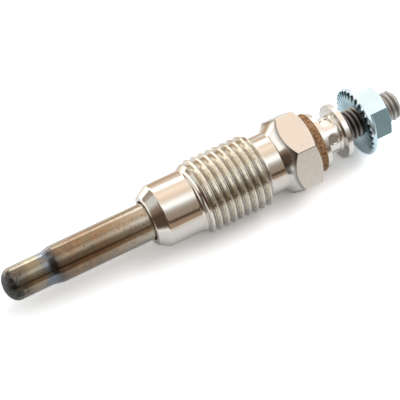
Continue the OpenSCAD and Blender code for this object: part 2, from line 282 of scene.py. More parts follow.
class GlowPlugColours(bpy.types.PropertyGroup):
    """Colours of the finishes."""

    nickel: colour("Nickel", "Plated body", 0.72, 0.69, 0.645)
    thread: colour("Thread nickel", "Plated thread, a little yellower", 0.79, 0.765, 0.69)
    collar: colour("Collar nickel", "Plated collar", 0.79, 0.775, 0.745)
    # The nickel stain colour also paints shade in the body's mouth and bores, and a dark reflection under
    # the collar's upper flange
    nickel_stain_and_shade: colour("Nickel stain", "Brown film in grooves and on handled places", 0.36, 0.30, 0.24)
    soot: colour("Soot", "Burnt tip", 0.070, 0.066, 0.060)
    straw: colour("Straw tint", "Golden temper tint on the slim front", 0.27, 0.235, 0.165)
    blue: colour("Blue tint", "Blue temper tint at the step", 0.135, 0.165, 0.215)
    bronze: colour("Bronze tint", "Brown oxide on the tube", 0.228, 0.162, 0.104)
    grey: colour("Grey sheath", "Tube near the body", 0.45, 0.415, 0.35)
    steel: colour("Stud steel", "Dull steel of the stud", 0.64, 0.62, 0.59)
    # The grime colour also paints shade in the body's thread roots and dark reflections on its hexagon's
    # cone; on the stud it darkens the thread roots
    grime_and_shade: colour("Grime", "Dirt in the thread roots", 0.058, 0.052, 0.045)
    zinc: colour("Zinc", "Blue passivated nut", 0.69, 0.88, 0.98)
    # The zinc tint also paints shade on the top half of the nut flange's underside
    zinc_tint_and_shade: colour("Zinc tint", "Teal film on the nut", 0.24, 0.42, 0.47)
    fibre: colour("Fibre", "Light strands of the washer", 0.46, 0.25, 0.115)
    fibre_dark: colour("Dark fibre", "Dark strands of the washer", 0.085, 0.038, 0.017)
    heat_wire: colour("Heating wire", "Wire of the heating coil", 0.47, 0.36, 0.25)
    control_wire: colour("Regulating wire", "Wire of the regulating coil", 0.46, 0.46, 0.48)
    powder: colour("Powder", "Magnesia packed in the tube", 0.78, 0.76, 0.72)
    rubber: colour("Rubber", "Seal ring and gland", 0.022, 0.021, 0.020)


class GlowPlugStageSettings(bpy.types.PropertyGroup):
    """Camera, floor and light."""

    azimuth: angle("Azimuth", "Camera angle round the plug", -30.27)
    elevation: angle("Elevation", "Camera angle above the floor", 61.63)
    roll: angle("Roll", "Camera turn about its own view", 1.79)
    distance: length("Distance", "Camera distance from its target", 222.56 * MM)
    target: vector(
        "Target",
        "Point in the middle of the picture",
        (6.70 * MM, -1.257 * MM, 1.277 * MM),
        subtype="TRANSLATION",
        unit="LENGTH",
    )
    field_of_view: angle("Field of view", "Camera angle across the square picture", 15.595)
    floor_half: length("Floor half width", "Half the width of the floor", 1.5)
    floor_white: light_level("Floor white", "Diffuse reflectance of the floor", 0.90, 1.0)
    floor_lift: light_level("Floor lift", "How much whiter the camera sees the floor", 0.99)
    mirror_lift: light_level("Mirror lift", "How much whiter metal sees the floor", 0.08)
    # What metal sees of the front floor is a painted glow of this tone
    floor_front: colour("Front floor", "What metal sees of the floor in front", 0.84, 0.80, 0.745)
    ambient: light_level("Ambient", "Level of light from all round on dull surfaces", 0.78)
    studio: light_level("Studio", "How much brighter metal sees the studio than its tones are written", 1.5)
    slant: angle("Slant", "How far the studio's bands rise towards the right", 100)
    key_level: light_level("Key level", "Level of light from the soft box on the floor", 0.36)
    key_towards: vector("Key direction", "From the plug to the soft box", (0.85, 0.30, 1.0), subtype="XYZ")
    key_size: length("Soft box size", "Width of the soft box", 0.45)
    key_distance: length("Soft box distance", "Distance of the soft box from the plug", 0.50)


def math_operator(operation):
    """A Python operator on fields and its reflected form, each of which adds one Math node."""

    def forward(self, other):
        return self.graph.math(operation, self, other)

    def reflected(self, other):
        return self.graph.math(operation, other, self)

    return forward, reflected


class Field:
    """A node socket that takes part in Python arithmetic: each operation adds one Math node."""

    def __init__(self, graph, socket):
        self.graph = graph
        self.socket = socket

    def other(self, output):
        """Another output of the node that this socket belongs to."""
        return Field(self.graph, self.socket.node.outputs[output])

    def math(self, operation, *others):
        """This value and the others through one Math node."""
        return self.graph.math(operation, self, *others)

    def between(self, low, high):
        """0 below low, 1 above high, and smooth between them."""
        return self.graph.node(
            "ShaderNodeMapRange",
            {"interpolation_type": "SMOOTHSTEP", "clamp": True},
            {"Value": self, "From Min": low, "From Max": high},
        )

    def until(self, low, high):
        """1 below low, 0 above high, and smooth between them."""
        return 1 - self.between(low, high)

    def span(self, start, full, ebb, end):
        """0 outside start and end, 1 from full to ebb, and smooth between them."""
        return self.between(start, full) * self.until(ebb, end)

    def limited(self, low, high):
        """This value held between two limits."""
        return self.math("MAXIMUM", low).math("MINIMUM", high)

    __add__, __radd__ = math_operator("ADD")
    __sub__, __rsub__ = math_operator("SUBTRACT")
    __mul__, __rmul__ = math_operator("MULTIPLY")
    __truediv__, __rtruediv__ = math_operator("DIVIDE")
    __pow__, __rpow__ = math_operator("POWER")


class Graph:
    """A node tree that is being built."""

    def __init__(self, tree):
        self.tree = tree

    def node(self, kind, settings=None, sockets=None, output=0):
        """Adds a node, makes its settings, then sets or links its sockets, and gives one of its outputs."""
        node = self.tree.nodes.new(kind)
        for name, value in (settings or {}).items():
            if name == "stops":
                self.set_stops(node.color_ramp, value)
            else:
                setattr(node, name, value)
        given = sockets.items() if isinstance(sockets, dict) else enumerate(sockets or ())
        for key, value in given:
            socket = node.inputs[key]
            if isinstance(value, Field):
                self.tree.links.new(value.socket, socket)
            elif socket.type == "RGBA" and len(value) == 3:
                socket.default_value = (*value, 1.0)
            else:
                socket.default_value = value
        return Field(self, node.outputs[output]) if len(node.outputs) else None

    @staticmethod
    def set_stops(ramp, stops):
        """Gives a ramp its stops, each a place from 0 to 1 and a colour."""
        while len(ramp.elements) > 1:
            ramp.elements.remove(ramp.elements[-1])
        for index, (place, shade) in enumerate(stops):
            element = ramp.elements[0] if index == 0 else ramp.elements.new(place)
            element.position = place
            element.color = (*shade, 1.0)

    def math(self, operation, *values):
        """One Math node on values or numbers."""
        return self.node("ShaderNodeMath", {"operation": operation}, values)

    def blend(self, factor, first, second):
        """A colour between two colours."""
        return self.node("ShaderNodeMix", {"data_type": "RGBA"}, {0: factor, 6: first, 7: second}, 2)

    def vector(self, x, y, z):
        """A vector from three values."""
        return self.node("ShaderNodeCombineXYZ", None, (x, y, z))

    def axes(self, place):
        """The X part of a vector, whose other outputs are Y and Z."""
        return self.node("ShaderNodeSeparateXYZ", None, (place,))

    def noise(self, place, scale, detail=2.0, roughness=0.5):
        """Soft noise from 0 to 1 at a place in metres; scale is in features per millimetre."""
        return self.node(
            "ShaderNodeTexNoise",
            {"noise_dimensions": "3D"},
            {"Vector": place, "Scale": scale / MM, "Detail": detail, "Roughness": roughness},
        )


def geometry_tree(name, counts, sizes, takes_mesh=True):
    """A geometry tree with named inputs; gives its graph and a field for each input."""
    tree = bpy.data.node_groups.new(name, "GeometryNodeTree")
    tree.interface.new_socket("Geometry", in_out="OUTPUT", socket_type="NodeSocketGeometry")
    inputs = [("Geometry", "Geometry")] if takes_mesh else []
    inputs += [(label, "Int") for label in counts] + [(label, "Float") for label in sizes]
    inputs.append(("Material", "Material"))
    for label, kind in inputs:
        tree.interface.new_socket(label, in_out="INPUT", socket_type="NodeSocket" + kind)
    graph = Graph(tree)
    source = tree.nodes.new("NodeGroupInput")
    return graph, {label: Field(graph, source.outputs[label]) for label, kind in inputs}


def end_tree(graph, geometry, material):
    """Closes a geometry tree with Realize Instances and Set Material."""
    real = graph.node("GeometryNodeRealizeInstances", None, {"Geometry": geometry})
    painted = graph.node("GeometryNodeSetMaterial", None, {"Geometry": real, "Material": material})
    graph.node("NodeGroupOutput", None, {0: painted})


def moved(graph, geometry, how, vector):
    """A geometry with its points at a new position or at an offset."""
    return graph.node("GeometryNodeSetPosition", None, {"Geometry": geometry, how: vector})


def axis_parts(graph, place):
    """Station, radius and angle of a place about the plug's axis."""
    x = graph.axes(place)
    y = x.other("Y")
    z = x.other("Z")
    return x, (y * y + z * z) ** 0.5, graph.math("ARCTAN2", z, y)


def round_place(graph, x, radius, turn):
    """Vector at a station, radius and angle."""
    return graph.vector(x, radius * turn.math("COSINE"), radius * turn.math("SINE"))


def thread_tree():
    """Tree that winds a metric thread between two plain rings, right-handed about the axis."""
    graph, size = geometry_tree(
        "helical_thread",
        ("Columns", "Rows per pitch", "Rows"),
        THREAD_SIZES + THREAD_START + THREAD_END,
        takes_mesh=False,
    )
    crest = size["Crest radius"]
    pitch = size["Pitch"]
    start = size["Start"]
    end = size["End"]
    span = (size["Rows"] - 1) * pitch / size["Rows per pitch"]
    grid = graph.node(
        "GeometryNodeMeshGrid",
        None,
        {"Size X": span, "Size Y": 1.0, "Vertices X": size["Rows"], "Vertices Y": size["Columns"] + 1},
    )
    along = graph.axes(graph.node("GeometryNodeInputPosition"))
    share = along.other("Y") + 0.5
    ridge = along + span / 2 + start - pitch
    x = (ridge + pitch * share).limited(start, end)
    phase = ((ridge - size["Crest station"]) / pitch + 0.5).math("FRACT")
    from_crest = (phase - 0.5).math("ABSOLUTE") * pitch
    half_crest = pitch / 16
    flank = crest - (from_crest - half_crest) / math.tan(FLANK_ANGLE)
    soft = pitch * 0.09
    profile = flank.math("SMOOTH_MIN", crest, soft).math("SMOOTH_MAX", crest - pitch * THREAD_DEPTH, soft)
    fade = graph.math("MINIMUM", (x - start) / size["Fade in"], (end - x) / size["Fade out"])
    profile = crest - (crest - profile) * fade.math("MINIMUM", 1.0)
    lead_in = size["Start radius"] + (x - start) * (crest - size["Start radius"]) / size["Run in"]
    lead_out = size["End radius"] + (end - x) * (crest - size["End radius"]) / size["Run out"]
    radius = profile.math("MINIMUM", lead_in).math("MINIMUM", lead_out)
    wound = moved(graph, grid, "Position", round_place(graph, x, radius, share * TURN))
    merged = graph.node("GeometryNodeMergeByDistance", None, {"Geometry": wound, "Distance": MERGE_GAP})
    end_tree(graph, merged, size["Material"])
    return graph.tree


def dimple_tree():
    """Tree that presses round crimp dimples into a turned waist."""
    graph, size = geometry_tree(
        "crimp_dimples", ("Count",), ("Turn", "Station", "Radius", "Floor radius", "Wall")
    )
    x, radius, turn = axis_parts(graph, graph.node("GeometryNodeInputPosition"))
    share = (turn - size["Turn"]) * size["Count"] / TURN
    swing = ((share + 0.5).math("FRACT") - 0.5) * TURN / size["Count"]
    across = swing.math("SINE") * radius
    ahead = x - size["Station"]
    away = (across * across + ahead * ahead) ** 0.5
    press = away.until(size["Radius"] - size["Wall"], size["Radius"])
    floor = (size["Floor radius"] / swing.math("COSINE")).math("MINIMUM", radius)
    pressed = round_place(graph, x, radius + (floor - radius) * press, turn)
    end_tree(graph, moved(graph, size["Geometry"], "Position", pressed), size["Material"])
    return graph.tree


def serration_tree():
    """Tree that cuts ratchet teeth into the underside of a flange."""
    graph, size = geometry_tree(
        "flange_serrations", ("Count",), ("Turn", "Underside", "Inner radius", "Rim radius", "Depth")
    )
    x, radius, turn = axis_parts(graph, graph.node("GeometryNodeInputPosition"))
    phase = ((turn - size["Turn"]) * size["Count"] / TURN).math("FRACT")
    steep_side = 0.16
    tooth = (1 - phase) * phase.between(0.0, steep_side)
    reach = (radius - size["Inner radius"]) / (size["Rim radius"] - size["Inner radius"])
    under = (x - size["Underside"]).until(0.10 * MM, 0.11 * MM)
    cut = tooth * reach.limited(0.0, 1.0) * under * size["Depth"]
    notched = moved(graph, size["Geometry"], "Offset", graph.vector(cut, 0.0, 0.0))
    end_tree(graph, notched, size["Material"])
    return graph.tree


def put(name, data):
    """A new object in the scene."""
    item = bpy.data.objects.new(name, data)
    bpy.context.scene.collection.objects.link(item)
    return item


def baked(holder):
    """A plain mesh of an object with its modifiers, which are removed with the object."""
    bpy.context.view_layer.update()
    depsgraph = bpy.context.evaluated_depsgraph_get()
    result = bpy.data.meshes.new_from_object(holder.evaluated_get(depsgraph))
    holder.modifiers.clear()
    bpy.data.objects.remove(holder)
    return result


def grow(tree, mesh, values):
    """The mesh that a geometry tree makes out of another mesh and named values."""
    holder = put(tree.name, mesh)
    modifier = holder.modifiers.new(tree.name, "NODES")
    modifier.node_group = tree
    for item in tree.interface.items_tree:
        if item.in_out == "INPUT" and item.name in values:
            modifier[item.identifier] = values[item.name]
    return baked(holder)


def softened(name, mesh, width, limit=25):
    """The mesh with a small break on each edge sharper than a limit in degrees."""
    holder = put(name, mesh)
    bevel = holder.modifiers.new("edges", "BEVEL")
    bevel.limit_method = "ANGLE"
    bevel.angle_limit = math.radians(limit)
    bevel.width = width
    bevel.segments = 2
    return baked(holder)


def eased(corners, steps=4):
    """Outline points of corners (station, radius, ease): a corner with an ease is rounded that far back."""
    points = []
    for index, (x, radius, ease) in enumerate(corners):
        here = Vector((x, radius))
        if ease == 0:
            points.append((x, radius))
            continue
        before = Vector(corners[index - 1][:2])
        after = Vector(corners[index + 1][:2])
        first = here + (before - here).normalized() * ease
        last = here + (after - here).normalized() * ease
        for step in range(steps + 1):
            share = step / steps
            spot = first * (1 - share) ** 2 + here * 2 * share * (1 - share) + last * share**2
            points.append((spot.x, spot.y))
    return points


def braced(points, margin=0.12 * MM):
    """Outline points with two more near the ends of each long straight, to keep its shading even."""
    result = [points[0]]
    for before, after in zip(points, points[1:]):
        first, last = Vector(before), Vector(after)
        span = (last - first).length
        if span > 4 * margin:
            result += [tuple(first.lerp(last, margin / span)), tuple(last.lerp(first, margin / span))]
        result.append(after)
    return result


def ring_mesh(name, rings, columns, closed=False):
    """A skin over rings about the axis: each is a station and radius, or gives both for an angle."""
    vertices = []
    loops = []
    for ring in rings:
        if not callable(ring) and ring[1] == 0:
            loops.append([len(vertices)] * columns)
            vertices.append((ring[0], 0.0, 0.0))
            continue
        loops.append([len(vertices) + column for column in range(columns)])
        for column in range(columns):
            turn = TURN * column / columns
            x, radius = ring(turn) if callable(ring) else ring
            vertices.append((x, radius * math.cos(turn), radius * math.sin(turn)))
    faces = []
    for first, second in zip(loops, loops[1:] + loops[:1] if closed else loops[1:]):
        for column in range(columns):
            after = (column + 1) % columns
            corners = (first[column], first[after], second[after], second[column])
            faces.append(list(dict.fromkeys(corners)))
    mesh = bpy.data.meshes.new(name)
    mesh.from_pydata(vertices, [], faces)
    mesh.validate()
    return mesh


def welded(name, *meshes):
    """One closed mesh of several that meet at common rings, with its faces turned outwards."""
    work = bmesh.new()
    for mesh in meshes:
        work.from_mesh(mesh)
    bmesh.ops.remove_doubles(work, verts=work.verts[:], dist=WELD_GAP)
    bmesh.ops.recalc_face_normals(work, faces=work.faces[:])
    if any(len(edge.link_faces) != 2 for edge in work.edges):
        raise RuntimeError(name + " is not a closed skin")
    for face in work.faces:
        face.smooth = True
        face.material_index = 0
    mesh = bpy.data.meshes.new(name)
    work.to_mesh(mesh)
    work.free()
    return mesh


def shade_by_area(mesh):
    """Turns each point's shading normal towards its larger faces, so that flats and cones look true."""
    totals = [Vector() for _ in mesh.vertices]
    for face in mesh.polygons:
        for index in face.vertices:
            totals[index] += face.normal * face.area
    mesh.normals_split_custom_set_from_vertices([total.normalized() for total in totals])


def add_piece(name, mesh, node, material):
    """Puts a finished mesh in the scene as the piece that stands for a node."""
    mesh.materials.clear()
    mesh.materials.append(material)
    shade_by_area(mesh)
    piece = put(name, mesh)
    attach(piece, "root")
    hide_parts(node)
    return piece


def hex_ring(half_width, station, radius, slope, turned=0.0):
    """The ring where a hexagon meets a cone that has a radius at a station and a slope along the axis."""
    sixth = TURN / 6

    def corner(turn):
        reach = half_width / math.cos((turn - turned + sixth) % sixth - sixth / 2)
        return station + (reach - radius) * slope, reach

    return corner


def start_finish(name):
    """A new material, its empty graph, and the place on a piece in the piece's own coordinates."""
    material = bpy.data.materials.new(name)
    material.use_nodes = True
    material.node_tree.nodes.clear()
    graph = Graph(material.node_tree)
    return material, graph, graph.node("ShaderNodeTexCoord", output="Object")


def finished(material, graph, sockets):
    """The material, ended in one surface shader."""
    shader = graph.node("ShaderNodeBsdfPrincipled", None, sockets)
    graph.node("ShaderNodeOutputMaterial", None, {"Surface": shader})
    return material


def bump(graph, height, strength, depth):
    """A bump normal from a height of 0 to 1; depth is in metres."""
    return graph.node("ShaderNodeBump", None, {"Strength": strength, "Distance": depth, "Height": height})


def turning_marks(graph, x, turn, per_mm):
    """Fine rings that a lathe tool leaves, with a slight wander round the piece."""
    wander = 0.004
    line = x + turn.math("SINE") * wander * MM
    return graph.node(
        "ShaderNodeTexNoise",
        {"noise_dimensions": "1D"},
        {"W": line, "Scale": per_mm / MM, "Detail": 3.0, "Roughness": 0.6},
    )


def body_nickel(body, colours):
    """Nickel plate on turned steel: bright shank, thread with brown film and painted shade in the roots,
    satin hexagon.
    """
    material, graph, place = start_finish("body_nickel")
    x, radius, turn = axis_parts(graph, place)
    hexagon = body.hex_start
    on_hex = x.between(hexagon + 0.9 * MM, hexagon + 1.1 * MM)
    in_thread = x.span(
        body.shank_end, body.shank_end + body.run_in, body.thread_end, body.thread_end + body.run_out
    )
    root = body.thread_radius - body.pitch * THREAD_DEPTH
    in_root = in_thread * radius.until(root, root + 0.45 * MM)
    cloud = graph.noise(place, 0.35, 3.0)
    fleck = graph.noise(place, 5.0, 2.0)
    pit = graph.noise(place, 4.2, 2.0).between(0.60, 0.71)
    # Painted shade: the mouth round the tube and the bores behind it take the full stain colour
    inside = radius.until(body.mouth_radius, body.mouth_radius + 0.1 * MM)
    film = cloud.between(0.5, 0.8) * (1 - on_hex) * 0.16
    grit = graph.noise(place, 2.7, 3.0, 0.7)
    mottle = in_thread * grit.between(0.48, 0.62) * 0.34
    stain_and_shade = (in_root * 0.20 + mottle + film + pit * on_hex * 0.4 + inside).math("MINIMUM", 0.95)
    # Painted shade with some grime along the thread roots, for dark root lines
    painted_shade_and_grime = in_thread * radius.until(root, root + 0.15 * MM) * (0.16 + fleck * 0.5)
    plate = graph.blend(in_thread, colours.nickel, colours.thread)
    rings = turning_marks(graph, x, turn, 9.0)
    wave = turning_marks(graph, x, turn, 1.7)
    # Painted dark reflections on the cone along the hexagon's arcs, and in front at the cone's foot
    facet = ((turn * (6 / TURN)).math("FRACT") - 0.5) * (TURN / 6)
    across = radius * facet.math("COSINE")
    past_cone = (x - hexagon) - (radius - body.neck_radius)
    on_cone = x.between(hexagon + 0.2 * MM, hexagon + 0.5 * MM)
    on_cone = on_cone * past_cone.until(0.02 * MM, 0.12 * MM)
    painted_arc_reflection = on_cone * across.between(body.hex_half - 0.65 * MM, body.hex_half - 0.05 * MM)
    foot = x.span(hexagon - 0.05 * MM, hexagon + 0.1 * MM, hexagon + 0.4 * MM, hexagon + 0.9 * MM)
    rise = x.other("Z") / radius
    # The lower side towards the camera, where the cone's foot gets its painted dark reflection
    front = rise.span(0.46, 0.55, 0.72, 0.84) * (0 - x.other("Y")).between(0, 1 * MM)
    painted_shade_and_grime = (painted_shade_and_grime + painted_arc_reflection * 0.6 + foot * front * (0.7 + wave * 0.35)).math("MINIMUM", 0.95)
    feed = 0.36 * MM
    groove = (x * (TURN / feed)).math("SINE") * graph.noise(place, 0.5, 2.0).between(0.40, 0.62)
    on_seat = x.until(-0.1 * MM, 0.3 * MM)
    smooth_height = rings * 0.35 + wave * 0.65 + groove * (0.16 + on_seat * 0.4) + in_thread * grit * 4.0
    satin_height = fleck * 0.7 - pit * 0.9
    height = smooth_height * (1 - on_hex) + satin_height * on_hex
    stained = graph.blend(stain_and_shade, plate, colours.nickel_stain_and_shade)
    surface = {
        "Base Color": graph.blend(painted_shade_and_grime, stained, colours.grime_and_shade),
        "Metallic": 1.0,
        "Roughness": 0.07 + rings * 0.06 + on_hex * 0.13 + stain_and_shade * 0.12,
        "Normal": bump(graph, height, 0.14, 0.02 * MM),
    }
    return finished(material, graph, surface)


def tube_steel(tube, colours):
    """Heat-tinted sheath: sooty tip, straw and blue tints to the step, bronze and grey behind it."""
    material, graph, place = start_finish("tube_steel")
    x = graph.axes(place)
    reach = body_low.x - tube.tip
    drift = graph.noise(place, 0.45, 3.0)
    smudge = graph.noise(place, 1.3, 4.0, 0.65)
    share = (x - tube.tip + (drift - 0.5) * 1.1 * MM) / reach
    tint = graph.node(
        "ShaderNodeValToRGB",
        {
            "stops": (
                (0.00, (0.15, 0.13, 0.11)),
                (0.15, (0.17, 0.145, 0.11)),
                (0.19, colours.straw),
                (0.25, (0.25, 0.225, 0.175)),
                (0.275, (0.185, 0.200, 0.210)),
                (0.31, colours.blue),
                (0.345, (0.105, 0.104, 0.112)),
                (0.365, (0.125, 0.100, 0.082)),
                (0.395, (0.178, 0.130, 0.090)),
                (0.62, colours.bronze),
                (0.80, (0.345, 0.29, 0.222)),
                (1.00, colours.grey),
            )
        },
        {"Fac": share},
    )
    stretched = graph.node("ShaderNodeVectorMath", {"operation": "MULTIPLY"}, (place, (0.05, 1.0, 1.0)))
    streak = graph.noise(stretched, 1.6, 4.0, 0.6)
    blotch = graph.noise(place, 0.8, 4.0, 0.65)
    speck = graph.noise(place, 2.4, 3.0, 0.65)
    behind_step = share.between(0.38, 0.44) * (1 - share.between(0.70, 0.95) * 0.6)
    base = graph.blend(blotch.between(0.42, 0.62) * behind_step * 0.55, tint, (0.31, 0.195, 0.115))
    base = graph.blend(drift.between(0.50, 0.66) * behind_step * 0.45, base, (0.22, 0.205, 0.15))
    pale = streak.between(0.52, 0.72) * share.between(0.12, 0.20) * 0.40
    base = graph.blend(pale, base, (0.38, 0.335, 0.275))
    base = graph.blend(speck.between(0.58, 0.68) * 0.6, base, (0.06, 0.047, 0.037))
    # The soot ends nearer the tip on the far side, so that the top of the tip shows bright bare metal:
    # painted light
    far_side_shift = x.other("Y").between(-0.6 * MM, 1.6 * MM) * 0.055
    soot = (share + far_side_shift + (smudge - 0.5) * 0.22).until(0.055, 0.145)
    crust = graph.blend(smudge.between(0.42, 0.62), (0.010, 0.010, 0.010), colours.soot)
    surface = {
        "Base Color": graph.blend(soot, base, crust),
        "Metallic": 1.0 - soot * 0.7,
        "Roughness": 0.09 + streak * 0.12 + soot * 0.24,
        "Coat Weight": 0.45 - soot * 0.35,
        "Coat Roughness": 0.08,
        "Normal": bump(graph, streak * 0.5 + speck * 0.5, 0.3, 0.02 * MM),
    }
    return finished(material, graph, surface)


def stud_steel(terminal, colours):
    """Dull steel stud with dirt in the thread roots."""
    material, graph, place = start_finish("stud_steel")
    x, radius = axis_parts(graph, place)[:2]
    root = terminal.stud_radius - terminal.stud_pitch * THREAD_DEPTH
    bright = radius.between(root + 0.05 * MM, terminal.stud_radius)
    cloud = graph.noise(place, 0.8, 3.0)
    speck = graph.noise(place, 5.0, 3.0, 0.6)
    clean = x.between(nut_high.x - 0.5 * MM, nut_high.x + 0.3 * MM)
    shade = (bright * 0.85 + cloud * 0.3 - 0.1 + clean * 0.45).limited(0.0, 1.0)
    surface = {
        "Base Color": graph.blend(shade, colours.grime_and_shade, colours.steel),
        "Metallic": 1.0,
        "Roughness": 0.42 - bright * 0.14 + speck * 0.1,
        "Normal": bump(graph, speck, 0.3, 0.02 * MM),
    }
    return finished(material, graph, surface)


def washer_fibre(colours):
    """Pressed fibre with light and dark strands."""
    material, graph, place = start_finish("fibre")
    grain = graph.noise(place, 2.6, 3.0, 0.7)
    strand = graph.noise(place, 6.5, 3.0, 0.6)
    shade = (grain.between(0.38, 0.58) * 0.75 + (strand - 0.35) * 0.9).limited(0.0, 1.0)
    surface = {
        "Base Color": graph.blend(shade, colours.fibre_dark, colours.fibre),
        "Roughness": 0.62 + strand * 0.25,
        "Normal": bump(graph, grain * 0.6 + strand * 0.4, 0.8, 0.09 * MM),
    }
    return finished(material, graph, surface)


def collar_nickel(terminal, colours):
    """Nickel plate on the crimped collar, duller in the dimples, with a painted dark reflection under the
    upper flange's top half.
    """
    material, graph, place = start_finish("collar_nickel")
    x, radius, turn = axis_parts(graph, place)
    cloud = graph.noise(place, 0.6, 3.0)
    fleck = graph.noise(place, 4.0, 2.0)
    rings = turning_marks(graph, x, turn, 8.0)
    waist = terminal.waist_radius
    low = radius.until(waist - 0.20 * MM, waist - 0.05 * MM)
    ledge = collar_high.x - terminal.top_length
    under = x.span(ledge - 0.25 * MM, ledge - 0.05 * MM, ledge + 0.03 * MM, ledge + 0.12 * MM)
    # Painted dark reflection: the browner tint under the upper flange falls only on its top half
    upper = radius.between(waist + 0.2 * MM, waist + 0.5 * MM) * x.other("Z").between(-0.5 * MM, 1.0 * MM)
    stain_and_shade = (cloud.between(0.48, 0.78) * 0.2 + low * 0.3 + under * upper * 0.3).math("MINIMUM", 0.9)
    surface = {
        "Base Color": graph.blend(stain_and_shade, colours.collar, colours.nickel_stain_and_shade),
        "Metallic": 1.0,
        "Roughness": 0.08 + rings * 0.05 + fleck * 0.05 + low * 0.08,
        "Normal": bump(graph, rings * 0.5 + fleck * 0.5, 0.14, 0.02 * MM),
    }
    return finished(material, graph, surface)


def nut_zinc(terminal, colours):
    """Blue passivated zinc with a teal film, and painted shade between the teeth and over the top of the
    underside.
    """
    material, graph, place = start_finish("nut_zinc")
    x, radius = axis_parts(graph, place)[:2]
    cloud = graph.noise(place, 0.5, 3.0)
    fleck = graph.noise(place, 3.5, 3.0, 0.6)
    depth = x - nut_low.x
    face = nut_high.y - terminal.nut_bevel
    inner = terminal.serration_inner
    within = radius.until(face - 0.04 * MM, face + 0.03 * MM)
    below = depth.until(0.40 * MM, 0.50 * MM) * within
    upper = x.other("Z").between(-2.5 * MM, 2.0 * MM)
    slot = depth.between(0.04 * MM, 0.13 * MM) * radius.between(inner - 0.2 * MM, inner + 0.1 * MM)
    # Painted shade in the slots between the teeth, heaviest on the top half
    painted_tooth_shade = below * slot * (0.25 + upper * 0.75)
    # The teal film is partly real and partly painted shade, which lies thick over the top half of the
    # underside
    film = (cloud.between(0.35, 0.75) * 0.10 + below * upper * 0.75).math("MINIMUM", 1.0)
    base = graph.blend(film, colours.zinc, colours.zinc_tint_and_shade)
    surface = {
        "Base Color": graph.blend(painted_tooth_shade * 0.92, base, (0.018, 0.026, 0.030)),
        "Metallic": 1.0,
        "Roughness": 0.06 + fleck * 0.10 + painted_tooth_shade * 0.3,
        "Normal": bump(graph, fleck, 0.16, 0.025 * MM),
    }
    return finished(material, graph, surface)


def drawn_wire(name, shade):
    """Drawn resistance wire with a faint oxide."""
    material, graph, place = start_finish(name)
    oxide = graph.noise(place, 2.5, 3.0, 0.6)
    surface = {
        "Base Color": graph.blend(oxide.between(0.45, 0.75) * 0.6, shade, (0.12, 0.10, 0.09)),
        "Metallic": 1.0,
        "Roughness": 0.28 + oxide * 0.2,
        "Normal": bump(graph, oxide, 0.2, 0.01 * MM),
    }
    return finished(material, graph, surface)


def packed_powder(colours):
    """Chalky magnesia with a fine grain."""
    material, graph, place = start_finish("powder")
    grain = graph.noise(place, 9.0, 4.0, 0.7)
    surface = {
        "Base Color": graph.blend(grain, (0.62, 0.60, 0.56), colours.powder),
        "Roughness": 0.85 + grain * 0.1,
        "Normal": bump(graph, grain, 0.5, 0.03 * MM),
    }
    return finished(material, graph, surface)


def seal_rubber(colours):
    """Moulded black rubber."""
    material, graph, place = start_finish("seal_rubber")
    grain = graph.noise(place, 7.0, 3.0, 0.6)
    surface = {
        "Base Color": graph.blend(grain * 0.5, colours.rubber, (0.05, 0.05, 0.05)),
        "Roughness": 0.55 + grain * 0.2,
        "Normal": bump(graph, grain, 0.3, 0.02 * MM),
    }
    return finished(material, graph, surface)


def thread_mesh(columns, thread, start, end, rows_per_pitch):
    """A wound thread, from values in the order of THREAD_SIZES, THREAD_START and THREAD_END."""
    tree = bpy.data.node_groups.get("helical_thread") or thread_tree()
    values = dict(zip(THREAD_SIZES + THREAD_START + THREAD_END, thread + start + end))
    step = values["Pitch"] / rows_per_pitch
    rows = math.ceil((values["End"] - values["Start"] + values["Pitch"]) / step) + 1
    values.update({"Columns": columns, "Rows per pitch": rows_per_pitch, "Rows": rows})
    return grow(tree, bpy.data.meshes.new("thread"), values)


class GLOWPLUG_OT_body(bpy.types.Operator):
    """Turn the body with its wound thread and hexagon"""

    bl_idname = "glow_plug.body"
    bl_label = "Body"

    def execute(self, context):
        size = context.scene.glow_plug_body
        nose = body_low.x
        mouth_end = nose + size.mouth_depth
        grip_gap = 0.02 * MM
        grip_end = tube_high.x + grip_gap
        shoulder = size.hex_end - size.seal_depth
        neck = size.thread_end + size.run_out
        seat_ease = 0.15 * MM
        wound_on = 0.45 * MM
        fade_in, fade_out = 0.3 * MM, 0.1 * MM
        columns = 180
        hex_front = hex_ring(size.hex_half, size.hex_start, size.neck_radius, 1)
        hex_rear = hex_ring(size.hex_half, size.hex_end, size.hex_face, -math.tan(CHAMFER_ANGLE))
        rear = braced([(neck, size.neck_radius), (size.hex_start, size.neck_radius)])
        bores = eased(
            (
                (size.hex_end, size.hex_face, 0),
                (size.hex_end, size.seal_radius, 0),
                (shoulder, size.seal_radius, 0),
                (shoulder, size.passage_radius, 0),
                (grip_end, size.passage_radius, 0),
                (grip_end, size.grip_radius, 0),
                (mouth_end, size.grip_radius, 0),
                (mouth_end, size.mouth_radius, 0),
                (nose, size.mouth_radius, 0),
                (nose, size.nose_radius, seat_ease),
                (0.0, size.shank_radius, seat_ease),
                (size.shank_end, size.shank_radius, 0),
            )
        )
        rings = ring_mesh("body_rings", rear + [hex_front, hex_rear] + braced(bores), columns)
        skin = softened("body_skin", rings, size.edge)
        thread = thread_mesh(
            columns,
            (size.thread_radius, size.pitch, size.first_crest + wound_on),
            (size.shank_end, size.shank_radius, size.run_in, fade_in),
            (neck, size.neck_radius, size.run_out, fade_out),
            rows_per_pitch=20,
        )
        finish = body_nickel(size, context.scene.glow_plug_colours)
        add_piece("turned_body", welded("turned_body", skin, thread), "plug_body", finish)
        return {"FINISHED"}


